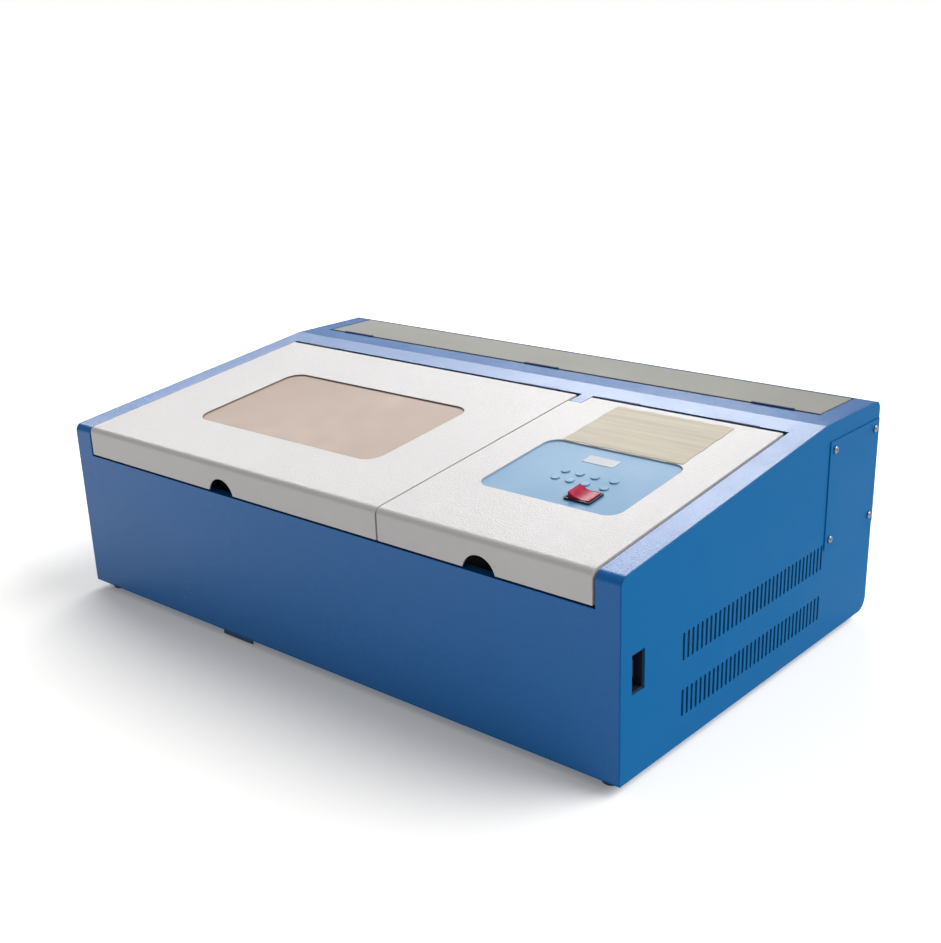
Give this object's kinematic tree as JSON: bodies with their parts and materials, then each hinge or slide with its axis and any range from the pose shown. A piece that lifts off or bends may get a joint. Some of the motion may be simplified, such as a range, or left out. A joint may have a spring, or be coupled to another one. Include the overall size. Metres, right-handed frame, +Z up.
{
  "type": "laser engraver",
  "caption": "Desktop gas-laser engraver in a sloping sheet-metal case with hinged lids, a tinted window, a control panel, a moving gantry and head, and a rear exhaust outlet",
  "frame": {"origin": "on the floor under the middle of the whole machine, the exhaust outlet included", "axes": "+Z up, +X to the right of someone facing the front, +Y to the rear"},
  "size_m": [0.8032, 0.525, 0.2597],
  "materials": {
    "blue_case": "semi-gloss, fine orange peel",
    "navy_steel": "satin",
    "zinc_steel": "dull zinc",
    "pale_lid": "hammered powder coat",
    "beige_lid": "satin powder coat",
    "tinted_window": "tinted acrylic",
    "pale_blue_panel": "satin",
    "milky_display": "gloss",
    "key_plastic": "satin",
    "red_rocker": "gloss",
    "dark_plastic": "matt",
    "black_rubber": "matt",
    "bright_steel": "satin",
    "plain_aluminium": "satin",
    "tube_glass": "clear",
    "circuit_board": "satin solder mask"
  },
  "bodies": {
    "casing": {"upper_shell": "blue_case", "base_and_rear_panel": "blue_case", "left_side_panel": "blue_case", "right_side_panel": "blue_case", "side_access_panel": "blue_case", "access_panel_screws": "bright_steel", "rubber_feet": "black_rubber", "front_skid": "navy_steel", "centre_partition": "zinc_steel", "rear_partition": "zinc_steel", "lid_rests": "zinc_steel", "hinge_fixed_leaves": "navy_steel", "hinge_pins": "navy_steel", "laser_tube": "tube_glass", "tube_saddles": "plain_aluminium", "rear_mirror_mount": "plain_aluminium", "exhaust_duct": "zinc_steel", "exhaust_fan_frame": "dark_plastic", "exhaust_spigot": "blue_case", "power_inlet": "dark_plastic", "data_port": "dark_plastic", "controller_board": "circuit_board", "power_supply": "zinc_steel", "y_motor": "dark_plastic", "rail_bars": "plain_aluminium", "guide_rods": "bright_steel", "y_belts": "black_rubber", "shaft_supports": "bright_steel", "work_bed": "bright_steel"},
    "left_cover": {"left_lid": "pale_lid", "window_pane": "tinted_window", "left_lid_hinge_leaves": "navy_steel"},
    "right_cover": {"right_lid": "pale_lid", "control_panel_plate": "pale_blue_panel", "display_window": "milky_display", "rocker_housing": "dark_plastic", "right_lid_hinge_leaves": "navy_steel"},
    "rear_cover": {"rear_lid": "beige_lid", "rear_lid_hinge_leaves": "navy_steel"},
    "rocker": {"rocker_paddle": "red_rocker"},
    "fan_rotor": {"exhaust_fan_rotor": "dark_plastic"},
    "gantry": {"gantry_beam": "plain_aluminium", "x_motor": "dark_plastic", "x_belt": "black_rubber", "gantry_mirror_mount": "plain_aluminium"},
    "laser_head": {"head_carriage": "plain_aluminium", "lens_tube": "plain_aluminium"},
    "x_drive": {"x_drive_pulley": "bright_steel"},
    "x_idler": {"x_idler_pulley": "bright_steel"},
    "y_drive": {"y_drive_shaft": "bright_steel"},
    "y_idlers": {"y_idler_pulleys": "bright_steel"},
    "jaw": {"clamp_jaw": "bright_steel"},
    "key_1_body": {"key_1": "key_plastic"},
    "key_2_body": {"key_2": "key_plastic"},
    "key_3_body": {"key_3": "key_plastic"},
    "key_4_body": {"key_4": "key_plastic"},
    "key_5_body": {"key_5": "key_plastic"},
    "key_6_body": {"key_6": "key_plastic"},
    "key_7_body": {"key_7": "key_plastic"},
    "key_8_body": {"key_8": "key_plastic"}
  },
  "joints": [
    {"name": "left_lid_hinge", "type": "hinge", "parent": "casing", "child": "left_cover", "pos_m": [0, 0.06943, 0.25338], "axis": [-1, 0, 0], "range_deg": [0, 95]},
    {"name": "right_lid_hinge", "type": "hinge", "parent": "casing", "child": "right_cover", "pos_m": [0, 0.06943, 0.25338], "axis": [-1, 0, 0], "range_deg": [0, 95]},
    {"name": "rear_lid_hinge", "type": "hinge", "parent": "casing", "child": "rear_cover", "pos_m": [0, 0.1375, 0.2575], "axis": [1, 0, 0], "range_deg": [0, 100]},
    {"name": "rocker_pivot", "type": "hinge", "parent": "right_cover", "child": "rocker", "pos_m": [0.274, -0.14575, 0.22534], "axis": [0, -0.9923, -0.1237], "range_deg": [0, 24]},
    {"name": "fan_spin", "type": "hinge", "parent": "casing", "child": "fan_rotor", "pos_m": [-0.21, 0.2065, 0.0813], "axis": [0, 1, 0], "continuous": true},
    {"name": "gantry_slide", "type": "slide", "parent": "casing", "child": "gantry", "axis": [0, -1, 0], "range_m": [0, 0.2]},
    {"name": "head_slide", "type": "slide", "parent": "gantry", "child": "laser_head", "axis": [1, 0, 0], "range_m": [0, 0.285]},
    {"name": "x_drive_spin", "type": "hinge", "parent": "gantry", "child": "x_drive", "pos_m": [0.018, 0.025, 0.151], "axis": [0, 0, 1], "continuous": true},
    {"name": "x_idler_spin", "type": "hinge", "parent": "gantry", "child": "x_idler", "pos_m": [-0.3, 0.025, 0.151], "axis": [0, 0, 1], "continuous": true},
    {"name": "y_drive_spin", "type": "hinge", "parent": "casing", "child": "y_drive", "pos_m": [0, 0.0555, 0.134], "axis": [1, 0, 0], "continuous": true},
    {"name": "y_idler_spin", "type": "hinge", "parent": "casing", "child": "y_idlers", "pos_m": [0, -0.2275, 0.134], "axis": [1, 0, 0], "continuous": true},
    {"name": "jaw_slide", "type": "slide", "parent": "casing", "child": "jaw", "axis": [0, 1, 0], "range_m": [-0.1, 0.029]},
    {"name": "key_1_press", "type": "slide", "parent": "right_cover", "child": "key_1_body", "axis": [0, 0.1237, -0.9923], "range_m": [0, 0.0005], "stiffness_N_per_m": 600},
    {"name": "key_2_press", "type": "slide", "parent": "right_cover", "child": "key_2_body", "axis": [0, 0.1237, -0.9923], "range_m": [0, 0.0005], "stiffness_N_per_m": 600},
    {"name": "key_3_press", "type": "slide", "parent": "right_cover", "child": "key_3_body", "axis": [0, 0.1237, -0.9923], "range_m": [0, 0.0005], "stiffness_N_per_m": 600},
    {"name": "key_4_press", "type": "slide", "parent": "right_cover", "child": "key_4_body", "axis": [0, 0.1237, -0.9923], "range_m": [0, 0.0005], "stiffness_N_per_m": 600},
    {"name": "key_5_press", "type": "slide", "parent": "right_cover", "child": "key_5_body", "axis": [0, 0.1237, -0.9923], "range_m": [0, 0.0005], "stiffness_N_per_m": 600},
    {"name": "key_6_press", "type": "slide", "parent": "right_cover", "child": "key_6_body", "axis": [0, 0.1237, -0.9923], "range_m": [0, 0.0005], "stiffness_N_per_m": 600},
    {"name": "key_7_press", "type": "slide", "parent": "right_cover", "child": "key_7_body", "axis": [0, 0.1237, -0.9923], "range_m": [0, 0.0005], "stiffness_N_per_m": 600},
    {"name": "key_8_press", "type": "slide", "parent": "right_cover", "child": "key_8_body", "axis": [0, 0.1237, -0.9923], "range_m": [0, 0.0005], "stiffness_N_per_m": 600}
  ],
  "couplings": [
    {"joint": "x_drive_spin", "follows": "head_slide", "rad_per_m": 132.45},
    {"joint": "x_idler_spin", "follows": "head_slide", "rad_per_m": 132.45},
    {"joint": "y_drive_spin", "follows": "gantry_slide", "rad_per_m": 132.45},
    {"joint": "y_idler_spin", "follows": "gantry_slide", "rad_per_m": 132.45}
  ]
}
